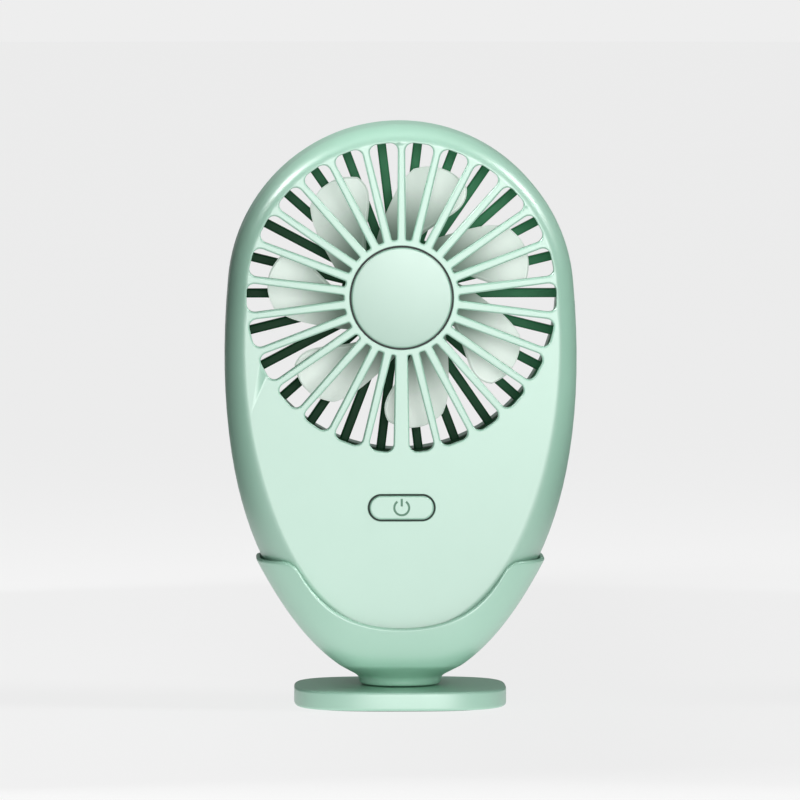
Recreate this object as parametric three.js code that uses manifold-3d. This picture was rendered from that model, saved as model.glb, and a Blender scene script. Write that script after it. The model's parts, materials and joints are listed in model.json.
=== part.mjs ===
// A pocket fan that stands in a small desk dock.
// Millimetres, +Z up. The origin is on the ground under the middle of the dock,
// the grille faces -Y and +X is on the right of someone who looks at the grille.
import * as THREE from 'three';
import { mergeVertices } from 'three/addons/utils/BufferGeometryUtils.js';
import { ParametricGeometry } from 'three/addons/geometries/ParametricGeometry.js';
import Module from 'manifold-3d';

const wasm = await Module();
wasm.setup();

// Driving dimensions
const gap = 0.3;
const hubHeight = 92.2;
const headRadius = 38.6;
const headArcEnd = 0.0915;
const sideHandle = 60;
const bottomHandle = 22;
const bottomHeight = 10.7;
const bodyHalfDepth = 16.5;
const wall = 2;
const facePlate = 2.4;

const slotCount = 26;
const slotInner = 12.9;
const slotOuter = 34.7;
const capRadius = 11.2;
const capSeat = 11.8;
const ductInner = 35.2;
const ductOuter = 36.1;
const ductBack = 3.2;
const guardFront = ductBack + gap;
const guardBack = 6.8;
const intakeRadius = 35.4;

const buttonHeight = 45.4;
const buttonWidth = 14.3;
const buttonTall = 5.3;

const bladeCount = 7;
const bladeRoot = 11.4;
const bladeTip = 29.8;

const dockTop = 33.4;
const dockBottom = 4.9;
const dockHalfDepth = 19.6;
const neckRadius = 9.1;
const plateHalfWidth = 23.75;
const plateHalfDepth = 21;
const plateThick = 4.46;
const plateLift = 0.3;

const bodyFront = -bodyHalfDepth;
const faceInside = bodyFront + facePlate;
const slotPitch = (2 * Math.PI) / slotCount;

// Finishes
const mint = { color: 0xb5dcc8, roughness: 0.45, metalness: 0 };
const darkGreen = { color: 0x3d6a50, roughness: 0.5, metalness: 0 };
const bladeWhite = { color: 0xdfe5e1, roughness: 0.4, metalness: 0 };
const boardGreen = { color: 0x1d5a38, roughness: 0.5, metalness: 0.1 };
const blackPlastic = { color: 0x1b1c1e, roughness: 0.55, metalness: 0 };
const redPlastic = { color: 0xa8231f, roughness: 0.5, metalness: 0 };
const steel = { color: 0xb9bcc0, roughness: 0.3, metalness: 1 };
const darkSteel = { color: 0x5d6064, roughness: 0.4, metalness: 1 };
const bronze = { color: 0xa57a45, roughness: 0.35, metalness: 1 };
const copper = { color: 0xb8683a, roughness: 0.35, metalness: 1 };
const cellFilm = { color: 0xa9adb3, roughness: 0.35, metalness: 0.6 };
const greyRubber = { color: 0x4a4d4c, roughness: 0.9, metalness: 0 };
const greyFoam = { color: 0x6b6f70, roughness: 1, metalness: 0 };

// Solids

// Joins a geometry's shared corners and drops the slivers that a pole leaves.
function solid(geometry) {
  const plain = geometry.clone();
  plain.deleteAttribute('normal');
  plain.deleteAttribute('uv');
  const merged = mergeVertices(plain, 1e-4);
  const corners = merged.index.array;
  const faces = [];
  for (let i = 0; i < corners.length; i += 3) {
    const [a, b, c] = [corners[i], corners[i + 1], corners[i + 2]];
    if (a !== b && b !== c && c !== a) faces.push(a, b, c);
  }
  const body = new wasm.Manifold(new wasm.Mesh({
    numProp: 3,
    vertProperties: new Float32Array(merged.attributes.position.array),
    triVerts: new Uint32Array(faces),
  }));
  if (body.volume() <= 0) throw new Error('a surface faces inwards');
  return body;
}

const joined = (bodies) => bodies.reduce((whole, body) => whole.add(body));

function addPiece(group, name, body, look) {
  const mesh = body.getMesh();
  const geometry = new THREE.BufferGeometry();
  geometry.setAttribute('position', new THREE.BufferAttribute(mesh.vertProperties, 3));
  geometry.setIndex(new THREE.BufferAttribute(mesh.triVerts, 1));
  geometry.computeVertexNormals();
  const part = new THREE.Mesh(geometry, new THREE.MeshStandardMaterial(look));
  part.name = name;
  group.add(part);
}

// An outline drawn in x and z, thickened from y = front to y = back.
function slab(outline, front, back, curveSegments = 4) {
  const depth = back - front;
  const geometry = new THREE.ExtrudeGeometry(outline, { depth, bevelEnabled: false, curveSegments });
  geometry.rotateX(Math.PI / 2).translate(0, back, 0);
  return geometry;
}

function block(width, height, front, back, x = 0, z = 0) {
  const geometry = new THREE.BoxGeometry(width, back - front, height);
  return geometry.translate(x, (front + back) / 2, z);
}

// A cylinder along Y, at x and z.
function rod(radius, front, back, x = 0, z = hubHeight, sides = 16) {
  const geometry = new THREE.CylinderGeometry(radius, radius, back - front, sides);
  return geometry.translate(x, (front + back) / 2, z);
}

// A cylinder along Z, at x and y.
function post(radius, low, high, x = 0, y = 0, sides = 16) {
  const geometry = new THREE.CylinderGeometry(radius, radius, high - low, sides);
  return geometry.rotateX(Math.PI / 2).translate(x, y, (low + high) / 2);
}

// A profile of [radius, y] pairs turned about the fan's axis.
function turned(profile, sides = 28) {
  const points = profile.map(([radius, y]) => new THREE.Vector2(radius, y));
  return new THREE.LatheGeometry(points, sides).translate(0, 0, hubHeight);
}

// A profile of [radius, z] pairs turned about the vertical axis.
function turnedUpright(profile, sides = 28) {
  const points = profile.map(([radius, z]) => new THREE.Vector2(radius, z));
  return new THREE.LatheGeometry(points, sides).rotateX(Math.PI / 2);
}

function tube(inner, outer, front, back, sides = 24) {
  return turned([[inner, front], [outer, front], [outer, back], [inner, back], [inner, front]], sides);
}

// Turns a geometry clockwise about the fan's axis, as seen from the front.
function turnAboutHub(geometry, angle) {
  return geometry.clone().translate(0, 0, -hubHeight).rotateY(angle).translate(0, 0, hubHeight);
}

function around(count, make) {
  return Array.from({ length: count }, (_, i) => make(i, (2 * Math.PI * i) / count));
}

// A polygon whose corners are rounded, each by its own amount.
function roundedOutline(corners, roundings) {
  const shape = new THREE.Shape();
  corners.forEach((corner, i) => {
    const before = corners[(i + corners.length - 1) % corners.length];
    const after = corners[(i + 1) % corners.length];
    const entry = before.clone().sub(corner).setLength(roundings[i]).add(corner);
    const exit = after.clone().sub(corner).setLength(roundings[i]).add(corner);
    if (i === 0) shape.moveTo(entry.x, entry.y);
    else shape.lineTo(entry.x, entry.y);
    shape.quadraticCurveTo(corner.x, corner.y, exit.x, exit.y);
  });
  shape.closePath();
  return shape;
}

// A slot with round ends, level, centred on x and z.
function stadium(width, height, x, z) {
  const radius = height / 2;
  const reach = width / 2 - radius;
  const shape = new THREE.Shape();
  shape.absarc(x + reach, z, radius, -Math.PI / 2, Math.PI / 2, false);
  shape.absarc(x - reach, z, radius, Math.PI / 2, (3 * Math.PI) / 2, false);
  shape.closePath();
  return shape;
}

function wire(points, radius = 0.55, steps = 9) {
  const path = new THREE.CatmullRomCurve3(points.map((p) => new THREE.Vector3(...p)));
  const section = new THREE.Shape().absarc(0, 0, radius, 0, 2 * Math.PI, false);
  const settings = { steps, bevelEnabled: false, extrudePath: path, curveSegments: 3 };
  return new THREE.ExtrudeGeometry(section, settings);
}

// A screw along Y. The head is at headY and the shank runs the way of inward (1 or -1).
function screw(x, z, headY, inward, length, headRadius = 2, shankRadius = 0.9) {
  const headThick = 1.3;
  const neck = headY + inward * headThick;
  const tip = neck + inward * length;
  const head = solid(rod(headRadius, Math.min(headY, neck), Math.max(headY, neck), x, z, 14));
  const overlap = neck - inward * 0.2;
  const shank = solid(rod(shankRadius, Math.min(overlap, tip), Math.max(overlap, tip), x, z, 8));
  const slotBack = headY + inward * 0.6;
  const low = Math.min(headY - inward, slotBack);
  const high = Math.max(headY - inward, slotBack);
  return head.add(shank).subtract(solid(block(2.4, 0.5, low, high, x, z)));
}

// The egg that both shells are cut from

// A circle round the hub that runs on into one curve at each side, down to the bottom.
function eggOutline() {
  const sideX = headRadius * Math.cos(headArcEnd);
  const sideZ = hubHeight + headRadius * Math.sin(headArcEnd);
  const handleX = sideX + sideHandle * Math.sin(headArcEnd);
  const handleZ = sideZ - sideHandle * Math.cos(headArcEnd);
  const path = new THREE.Path();
  path.absarc(0, hubHeight, headRadius, Math.PI / 2, Math.PI - headArcEnd, false);
  path.bezierCurveTo(-handleX, handleZ, -bottomHandle, bottomHeight, 0, bottomHeight);
  path.bezierCurveTo(bottomHandle, bottomHeight, handleX, handleZ, sideX, sideZ);
  path.absarc(0, hubHeight, headRadius, headArcEnd, Math.PI / 2, false);
  return path;
}

// How far the rounded edge reaches in from the outline: little at the head, more below.
function edgeRounding(z) {
  const below = THREE.MathUtils.smoothstep(hubHeight - z, 15, 50);
  return { size: THREE.MathUtils.lerp(4.2, 8.5, below), depth: THREE.MathUtils.lerp(9, 13, below) };
}

const eggSides = 44;
const egg = eggOutline();
const eggEdge = Array.from({ length: eggSides + 1 }, (_, i) => {
  const along = (i % eggSides) / eggSides;
  const tangent = egg.getTangent(along);
  return { point: egg.getPoint(along), outward: new THREE.Vector2(tangent.y, -tangent.x) };
});

// The whole egg, drawn in by shrink all round, with a flat face at y = -halfDepth and +halfDepth.
function eggSolid(shrink, halfDepth) {
  const bends = [90, 48, 0].map(THREE.MathUtils.degToRad);
  const half = bends.map((bend) => ({ bend, side: -1 }));
  const rings = [...half, ...[...bends].reverse().map((bend) => ({ bend, side: 1 }))];
  const place = (u, v, target) => {
    const row = Math.round(v * (rings.length + 1));
    if (row === 0) return target.set(0, -halfDepth, hubHeight);
    if (row > rings.length) return target.set(0, halfDepth, hubHeight);
    const { bend, side } = rings[row - 1];
    const { point, outward } = eggEdge[Math.round((1 - u) * eggSides)];
    const rounding = edgeRounding(point.y);
    const size = Math.max(rounding.size - Math.max(shrink, 0), 1.5);
    const depth = rounding.depth - Math.max(shrink, 0);
    const inset = shrink + size * (1 - Math.cos(bend));
    const y = side * (halfDepth - depth * (1 - Math.sin(bend)));
    return target.set(point.x - outward.x * inset, y, point.y - outward.y * inset);
  };
  return solid(new ParametricGeometry(place, eggSides, rings.length + 1));
}

const frontSpace = solid(block(200, 200, -100, -gap / 2, 0, 80));
const rearSpace = solid(block(200, 200, gap / 2, 100, 0, 80));

function eggShell() {
  return eggSolid(0, bodyHalfDepth).subtract(eggSolid(wall, bodyHalfDepth - facePlate));
}

// Where the pieces inside are fastened
const caseScrewPlaces = [[-28.5, 56], [28.5, 56], [-11, 19.6], [11, 19.6]];
const boardPostPlaces = [[-15.5, 40], [15.5, 40]];
const portHeight = 27.5;
const portPostPlaces = [[-8.5, portHeight + 4], [8.5, portHeight + 4]];
const motorScrewAngles = [Math.PI / 2, -Math.PI / 2];
const boardFront = -9.1;
const boardBack = -7.9;
const portBoardFront = 7.3;
const portBoardBack = 8.5;

// One slot, with its middle line straight up from the hub. ribLeft and ribRight are
// half the thickness of the ribs beside it, as [at the hub, at the rim].
function slotOutline(ribLeft, ribRight) {
  const corner = (side, radius, ribHalf) => {
    const lean = (side * slotPitch) / 2;
    const along = new THREE.Vector2(Math.sin(lean), Math.cos(lean)).multiplyScalar(radius);
    const across = new THREE.Vector2(-side * Math.cos(lean), side * Math.sin(lean));
    return along.addScaledVector(across, ribHalf).add(new THREE.Vector2(0, hubHeight));
  };
  const corners = [
    corner(-1, slotInner, ribLeft[0]),
    corner(-1, slotOuter, ribLeft[1]),
    corner(1, slotOuter, ribRight[1]),
    corner(1, slotInner, ribRight[0]),
  ];
  return roundedOutline(corners, [0.3, 2.1, 2.1, 0.3]);
}

// Every gap between the ribs. The rib at the bottom is wide, for the motor's leads.
function grilleSlots() {
  const slim = [0.98, 0.78];
  const wide = [1.4, 1.8];
  const bottomRib = slotCount / 2;
  return joined(around(slotCount, (i, angle) => {
    const left = i === bottomRib ? wide : slim;
    const right = i + 1 === bottomRib ? wide : slim;
    const cut = slab(slotOutline(left, right), bodyFront - 1, faceInside + 0.5, 2);
    return solid(turnAboutHub(cut, angle + slotPitch / 2));
  }));
}

function frontShell() {
  const hubPlate = solid(rod(slotInner, bodyFront + 0.5, bodyFront + 3.1, 0, hubHeight, 36));
  const duct = solid(tube(ductInner, ductOuter, faceInside - 0.4, ductBack, 40));
  const bosses = caseScrewPlaces.map(([x, z]) => solid(rod(2.8, faceInside - 0.4, -gap / 2, x, z, 14)));
  const posts = boardPostPlaces.map(([x, z]) =>
    solid(rod(2.2, faceInside - 0.4, boardFront - gap, x, z, 12)));
  const fittings = joined([hubPlate, duct, ...bosses, ...posts]).intersect(eggSolid(1, bodyHalfDepth - 0.3));
  const whole = eggShell().intersect(frontSpace).add(fittings);
  const cuts = joined([
    grilleSlots(),
    solid(rod(capSeat, bodyFront - 1, bodyFront + 1.5, 0, hubHeight, 36)),
    solid(rod(2.6, bodyFront, bodyFront + 4, 0, hubHeight, 16)),
    ...motorScrewAngles.map((angle) =>
      solid(turnAboutHub(rod(1.1, bodyFront, bodyFront + 4, 0, hubHeight + 8.6, 8), angle))),
    solid(slab(stadium(buttonWidth + 0.9, buttonTall + 0.9, 0, buttonHeight), bodyFront - 1, faceInside + 1)),
    solid(block(4.6, 4, faceInside + 0.05, faceInside + 2.4, 0, hubHeight - ductInner - 0.5)),
    ...caseScrewPlaces.map(([x, z]) => solid(rod(1.2, -9.5, 1, x, z, 8))),
    ...boardPostPlaces.map(([x, z]) => solid(rod(1.2, faceInside + 1, boardFront, x, z, 8))),
  ]);
  return whole.subtract(cuts);
}

// The cap that covers the motor's fixings, with a peg that holds it in the hub plate.
function hubCap() {
  const front = bodyFront - 0.2;
  const back = bodyFront + 1.2;
  const edge = 0.5;
  return solid(turned([
    [0, front], [capRadius - edge, front], [capRadius - 0.15, front + 0.15], [capRadius, front + edge],
    [capRadius, back], [2.2, back], [2.2, back + 0.4], [0, back + 0.4],
  ], 36));
}

function rearShell() {
  const bosses = caseScrewPlaces.map(([x, z]) => solid(rod(3.4, gap / 2, bodyHalfDepth - 1, x, z, 14)));
  const posts = portPostPlaces.map(([x, z]) =>
    solid(rod(1.9, portBoardBack + gap, bodyHalfDepth - 1, x, z, 8)));
  const collar = solid(tube(intakeRadius - 0.2, intakeRadius + 0.8, guardBack + gap, bodyHalfDepth - 1, 40));
  const fittings = joined([collar, ...bosses, ...posts]).intersect(eggSolid(1, bodyHalfDepth - 1));
  const whole = eggShell().intersect(rearSpace).add(fittings);
  const cuts = joined([
    solid(rod(intakeRadius, guardBack, 20, 0, hubHeight, 40)),
    solid(slab(stadium(9.8, 3.9, 0, portHeight), 12, 20)),
    ...caseScrewPlaces.map(([x, z]) => solid(rod(1.2, -1, 20, x, z, 8))),
    ...caseScrewPlaces.map(([x, z]) => solid(rod(2.4, 6, 20, x, z, 14))),
    ...portPostPlaces.map(([x, z]) => solid(rod(1.1, 5, 14.5, x, z, 8))),
  ]);
  return whole.subtract(cuts);
}

// The dark guard behind the blades, clamped flat between the duct and the rear collar:
// a rim, radial bars and a middle disc.
function rearGrille() {
  const rim = tube(ductInner, ductOuter, guardFront, guardBack, 40);
  const disc = rod(13, guardFront, guardBack - 1, 0, hubHeight, 36);
  const bars = around(slotCount, (i, angle) => {
    const bar = block(2, 23.2, guardFront + 0.1, guardBack - 0.2, 0, hubHeight + 24);
    return solid(turnAboutHub(bar, angle + slotPitch / 2));
  });
  return joined([solid(rim), solid(disc), ...bars]);
}

// The motor, which hangs on the back of the hub plate

function motorMount() {
  const flange = tube(1.35, 10.2, -13.1, -12.1, 24);
  const sleeve = tube(2.45, 3.3, -12.3, -2.4, 16);
  const holes = motorScrewAngles.map((angle) =>
    solid(turnAboutHub(rod(1.1, -14, -11, 0, hubHeight + 8.6, 8), angle)));
  return joined([solid(flange), solid(sleeve)]).subtract(joined(holes));
}

function motorBoard() {
  const outline = new THREE.Shape().absarc(0, hubHeight, 6.3, 0, 2 * Math.PI, false);
  outline.holes.push(new THREE.Path().absarc(0, hubHeight, 3.7, 0, 2 * Math.PI, true));
  return solid(slab(outline, -11.8, -11, 8));
}

function statorCore() {
  const front = -9.6;
  const back = -4.4;
  const arms = around(4, (i, angle) =>
    solid(turnAboutHub(block(2, 4.2, front, back, 0, hubHeight + 6), angle)));
  const gaps = around(4, (i, angle) =>
    solid(turnAboutHub(block(1.6, 3, front - 1, back + 1, 0, hubHeight + 8), angle + Math.PI / 4)));
  const shoes = solid(tube(7.4, 8.4, front, back, 24)).subtract(joined(gaps));
  const core = solid(tube(3.6, 4.6, front, back, 16));
  return joined([core, ...arms, shoes]);
}

function statorCoil(angle) {
  const outer = block(4.2, 1.3, -10.6, -3.4, 0, hubHeight + 6.1);
  const inner = block(2.6, 3, -9.9, -4.1, 0, hubHeight + 6.1);
  return solid(turnAboutHub(outer, angle)).subtract(solid(turnAboutHub(inner, angle)));
}

function rotorCup() {
  return solid(turned([
    [1.35, -2.1], [9.9, -2.1], [9.9, -10.9], [10.6, -10.9], [10.6, -1.4], [1.35, -1.4], [1.35, -2.1],
  ], 24));
}

const magnetRing = () => solid(tube(8.75, 9.6, -10.4, -3, 24));
const sleeveBearing = () => solid(tube(1.04, 2.15, -11.7, -2.9, 16));
const shaft = () => solid(rod(1, -14.5, -1.2, 0, hubHeight, 16));
const shaftClip = () => solid(tube(1.3, 2.1, -13.9, -13.4, 12));

// One petal. Its two edges sweep clockwise as the radius grows and its face is pitched.
function impellerBlade() {
  const spans = 6;
  const across = 4;
  const thick = 1.1;
  const section = (radius) => {
    const inner = Math.max(0, (29.4 - radius) / 14.4);
    const outer = Math.max(0, (radius - 20) / 11);
    const middle = 18.8 - 17.8 * inner ** 2.1;
    const half = 18 * (1 - 0.68 * outer ** 2.6);
    return { middle, half, rise: THREE.MathUtils.lerp(9, 6, (radius - bladeRoot) / 18.4) };
  };
  const loop = 2 * (across + 1);
  const place = (u, v, target) => {
    const row = Math.round(v * (spans + 2));
    const span = THREE.MathUtils.clamp((row - 1) / spans, 0, 1);
    const radius = THREE.MathUtils.lerp(bladeRoot, bladeTip, 1 - (1 - span) ** 1.25);
    const { middle, half, rise } = section(radius);
    const step = Math.round(u * loop) % loop;
    const front = step <= across;
    const share = row === 0 || row > spans + 1 ? 0.5 : (front ? step : loop - 1 - step) / across;
    const angle = THREE.MathUtils.degToRad(middle + (2 * share - 1) * half);
    const face = row === 0 || row > spans + 1 ? 0 : (front ? -thick : thick) / 2;
    const y = -5.4 + (0.5 - share) * rise + face;
    return target.set(radius * Math.sin(angle), y, hubHeight + radius * Math.cos(angle));
  };
  return new ParametricGeometry(place, loop, spans + 2);
}

function impeller() {
  const hub = turned([
    [1.35, -0.6], [11.1, -0.6], [11.1, -11.6], [12.2, -11.6], [12.2, -0.2], [11.6, 0.4],
    [1.35, 0.4], [1.35, -0.6],
  ], 28);
  const blade = impellerBlade();
  return joined([solid(hub), ...around(bladeCount, (i, angle) => solid(turnAboutHub(blade, angle)))]);
}

// The electronics

function powerButton() {
  const front = bodyFront - 0.35;
  const cap = solid(slab(stadium(buttonWidth, buttonTall, 0, buttonHeight), front, faceInside + 0.6));
  const flange = solid(slab(stadium(18, 9, 0, buttonHeight), faceInside + gap, faceInside + 1.2));
  const ring = new THREE.Shape();
  const open = THREE.MathUtils.degToRad(35);
  ring.absarc(0, buttonHeight, 1.9, Math.PI / 2 + open, Math.PI / 2 - open + 2 * Math.PI, false);
  ring.absarc(0, buttonHeight, 1.5, Math.PI / 2 - open + 2 * Math.PI, Math.PI / 2 + open, true);
  ring.closePath();
  const bar = block(0.4, 1.7, front - 1, front + 0.2, 0, buttonHeight + 1.15);
  return cap.add(flange).subtract(solid(slab(ring, front - 1, front + 0.2))).subtract(solid(bar));
}

const switchPlunger = () => solid(rod(1.5, faceInside + 1.5, -10.9, 0, buttonHeight, 20));

function tactSwitch() {
  const body = solid(block(6, 6, -11.7, boardFront - gap, 0, buttonHeight));
  return body.subtract(solid(rod(1.75, -12, -10.2, 0, buttonHeight, 20)));
}

function controlBoard() {
  const board = solid(block(38, 17, boardFront, boardBack, 0, 44));
  return board.subtract(joined(boardPostPlaces.map(([x, z]) => solid(rod(1.2, -10, -7, x, z, 8)))));
}

function chargeBoard() {
  const board = solid(block(22, 13, portBoardFront, portBoardBack, 0, portHeight + 2.5));
  return board.subtract(joined(portPostPlaces.map(([x, z]) => solid(rod(1.2, 6, 10, x, z, 8)))));
}

function usbPort() {
  const front = portBoardBack + gap;
  const shell = solid(slab(stadium(9, 3.2, 0, portHeight), front, bodyHalfDepth - 0.2));
  const mouth = solid(slab(stadium(8.4, 2.6, 0, portHeight), front + 1.6, bodyHalfDepth + 1));
  const tongue = solid(block(6.6, 0.7, front + 1, bodyHalfDepth - 1.4, 0, portHeight));
  return shell.subtract(mouth).add(tongue);
}

const batteryFilm = { width: 36, height: 28, front: -5.6, back: 3.4, middle: 38.2 };

function batteryCell() {
  const { width, height, front, back, middle } = batteryFilm;
  const corners = [[-1, -1], [1, -1], [1, 1], [-1, 1]].map(([sideX, sideZ]) =>
    new THREE.Vector2((sideX * width) / 2, middle + (sideZ * height) / 2));
  return solid(slab(roundedOutline(corners, [2, 2, 2, 2]), front, back, 3));
}

// The dock

// Half the width or half the depth of the bowl's outside, from the rim down to the bottom.
const bowlWidth = new THREE.CubicBezierCurve(
  new THREE.Vector2(32.5, dockTop), new THREE.Vector2(27.6, 24.2),
  new THREE.Vector2(17, dockBottom), new THREE.Vector2(0, dockBottom));
const bowlDepth = new THREE.CubicBezierCurve(
  new THREE.Vector2(dockHalfDepth, dockTop), new THREE.Vector2(dockHalfDepth + 0.6, 11),
  new THREE.Vector2(18, dockBottom), new THREE.Vector2(0, dockBottom));

function radiusAt(curve, z) {
  let [low, high] = [0, 1];
  for (let i = 0; i < 40; i += 1) {
    const middle = (low + high) / 2;
    if (curve.getPoint(middle).y > z) low = middle;
    else high = middle;
  }
  return curve.getPoint(low).x;
}

// The bowl's outside: each level section is a soft-cornered oval.
function bowlSolid() {
  const sides = 40;
  const levels = 8;
  const squareness = 4;
  const place = (u, v, target) => {
    const row = Math.round(v * (levels + 2));
    if (row === 0) return target.set(0, 0, dockTop);
    if (row > levels + 1) return target.set(0, 0, dockBottom);
    const drop = (row - 1) / levels;
    const z = THREE.MathUtils.lerp(dockTop, dockBottom + 0.25, Math.sin((drop * Math.PI) / 2) ** 1.1);
    const angle = -2 * Math.PI * (Math.round(u * sides) / sides);
    const [c, s] = [Math.cos(angle), Math.sin(angle)];
    const power = 2 / squareness;
    const x = radiusAt(bowlWidth, z) * Math.sign(c) * Math.abs(c) ** power;
    const y = radiusAt(bowlDepth, z) * Math.sign(s) * Math.abs(s) ** power;
    return target.set(x, y, z);
  };
  return solid(new ParametricGeometry(place, sides, levels + 2));
}

// The U that is cut through the bowl's front and back, up to the two side horns.
function bowlNotch() {
  const shape = new THREE.Shape();
  shape.moveTo(0, 18.5);
  shape.bezierCurveTo(12.5, 18.5, 18.6, 24.2, 22.3, 30.2);
  shape.quadraticCurveTo(23.8, dockTop, 26.7, dockTop);
  shape.lineTo(26.7, 50);
  shape.lineTo(-26.7, 50);
  shape.lineTo(-26.7, dockTop);
  shape.quadraticCurveTo(-23.8, dockTop, -22.3, 30.2);
  shape.bezierCurveTo(-18.6, 24.2, -12.5, 18.5, 0, 18.5);
  return solid(slab(shape, -30, 30, 7));
}

const padPocket = { radius: 6.5, low: 9, high: 11.2 };
const dockScrewPlaces = around(3, (i, angle) => [5.4 * Math.sin(angle), 5.4 * Math.cos(angle)]);

function cradle() {
  const neck = solid(turnedUpright([
    [0, plateThick + gap], [neckRadius, plateThick + gap], [neckRadius, 5.6], [neckRadius + 0.4, 6.6],
    [neckRadius + 1.6, 7.6], [neckRadius + 3.4, 8.5], [0, 9.6],
  ], 28));
  const seat = eggSolid(-0.5, bodyHalfDepth + 0.5);
  const cuts = joined([
    seat,
    bowlNotch(),
    solid(post(padPocket.radius, padPocket.low, padPocket.high + 1, 0, 0, 20)),
    ...dockScrewPlaces.map(([x, y]) => solid(post(1.3, 0, 8.2, x, y, 8))),
  ]);
  return bowlSolid().add(neck).subtract(cuts);
}

const seatPad = () => solid(post(padPocket.radius - gap, padPocket.low + gap, bottomHeight - gap, 0, 0, 20));

// A disc that is wider than it is deep, with its front, back and ends flattened a little.
function oval(profile, sides = 40) {
  const squareness = 3.2;
  const disc = turnedUpright(profile, sides);
  const points = disc.getAttribute('position');
  for (let i = 0; i < points.count; i += 1) {
    const [x, y] = [points.getX(i), points.getY(i)];
    const reach = Math.hypot(x, y);
    const along = Math.abs(x) ** squareness + Math.abs(y) ** squareness;
    const stretch = reach > 0 ? reach / along ** (1 / squareness) : 1;
    points.setXY(i, x * stretch, (y * stretch * plateHalfDepth) / plateHalfWidth);
  }
  return solid(disc);
}

const plateCavity = { radius: plateHalfWidth - 2.6, top: 3.1 };

function basePlate() {
  const edge = 0.6;
  const disc = oval([
    [0, plateLift], [plateHalfWidth - edge, plateLift], [plateHalfWidth, plateLift + edge],
    [plateHalfWidth, plateThick - edge], [plateHalfWidth - 0.2, plateThick - 0.18],
    [plateHalfWidth - edge, plateThick], [0, plateThick],
  ]);
  const cavity = oval([
    [0, 0], [plateCavity.radius, 0], [plateCavity.radius, plateCavity.top], [0, plateCavity.top],
  ]);
  const holes = dockScrewPlaces.map(([x, y]) => solid(post(1.3, 0, 8, x, y, 8)));
  return disc.subtract(joined([cavity, ...holes]));
}

function ballast() {
  const radius = plateCavity.radius - 0.5;
  const disc = oval([[0, 1.3], [radius, 1.3], [radius, 2.8], [0, 2.8]], 28);
  return disc.subtract(joined(dockScrewPlaces.map(([x, y]) => solid(post(2.5, 0, 4, x, y, 12)))));
}

function footPad() {
  const radius = plateCavity.radius - 0.5;
  return oval([[0, 0], [radius, 0], [radius, 1], [0, 1]], 28);
}

// A dock screw stands head down under the plate's top wall.
function dockScrew(x, y) {
  const head = solid(post(2.1, 1.7, 2.8, x, y, 12));
  return head.add(solid(post(0.95, 2.6, 7.8, x, y, 8)));
}

// The assembly

const fan = new THREE.Group();

addPiece(fan, 'front_shell', frontShell(), mint);
addPiece(fan, 'hub_cap', hubCap(), mint);
addPiece(fan, 'rear_shell', rearShell(), mint);
addPiece(fan, 'rear_grille', rearGrille(), darkGreen);
caseScrewPlaces.forEach(([x, z], i) => {
  addPiece(fan, `case_screw_${i + 1}`, screw(x, z, 8.9, -1, 13.5), steel);
});

addPiece(fan, 'motor_mount', motorMount(), blackPlastic);
addPiece(fan, 'motor_board', motorBoard(), boardGreen);
addPiece(fan, 'stator_core', statorCore(), darkSteel);
around(4, (i, angle) => addPiece(fan, `stator_coil_${i + 1}`, statorCoil(angle), copper));
addPiece(fan, 'sleeve_bearing', sleeveBearing(), bronze);
motorScrewAngles.forEach((angle, i) => {
  const [x, z] = [8.6 * Math.sin(angle), hubHeight + 8.6 * Math.cos(angle)];
  const head = solid(rod(1.7, -11.8, -11.1, x, z, 12));
  addPiece(fan, `motor_screw_${i + 1}`, head.add(solid(rod(0.8, -14.6, -11.6, x, z, 12))), steel);
});

addPiece(fan, 'impeller', impeller(), bladeWhite);
addPiece(fan, 'rotor_cup', rotorCup(), steel);
addPiece(fan, 'magnet_ring', magnetRing(), darkSteel);
addPiece(fan, 'shaft', shaft(), steel);
addPiece(fan, 'shaft_clip', shaftClip(), blackPlastic);

addPiece(fan, 'power_button', powerButton(), mint);
addPiece(fan, 'switch_plunger', switchPlunger(), blackPlastic);
addPiece(fan, 'tact_switch', tactSwitch(), steel);
addPiece(fan, 'control_board', controlBoard(), boardGreen);
addPiece(fan, 'control_chip', solid(block(4, 4, -10.3, boardFront - gap, 9, 47)), blackPlastic);
addPiece(fan, 'power_coil', solid(block(5, 5, -11.8, boardFront - gap, -10, 47)), darkSteel);
boardPostPlaces.forEach(([x, z], i) => {
  addPiece(fan, `board_screw_${i + 1}`, screw(x, z, -6.3, -1, 4.9), steel);
});
addPiece(fan, 'battery', batteryCell(), cellFilm);
addPiece(fan, 'battery_pad', solid(block(28, 14, 3.7, 6.6, 0, 46)), greyFoam);
addPiece(fan, 'charge_board', chargeBoard(), boardGreen);
addPiece(fan, 'usb_port', usbPort(), steel);
portPostPlaces.forEach(([x, z], i) => {
  addPiece(fan, `port_screw_${i + 1}`, screw(x, z, 5.7, 1, 5.6, 1.7, 0.8), steel);
});

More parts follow.
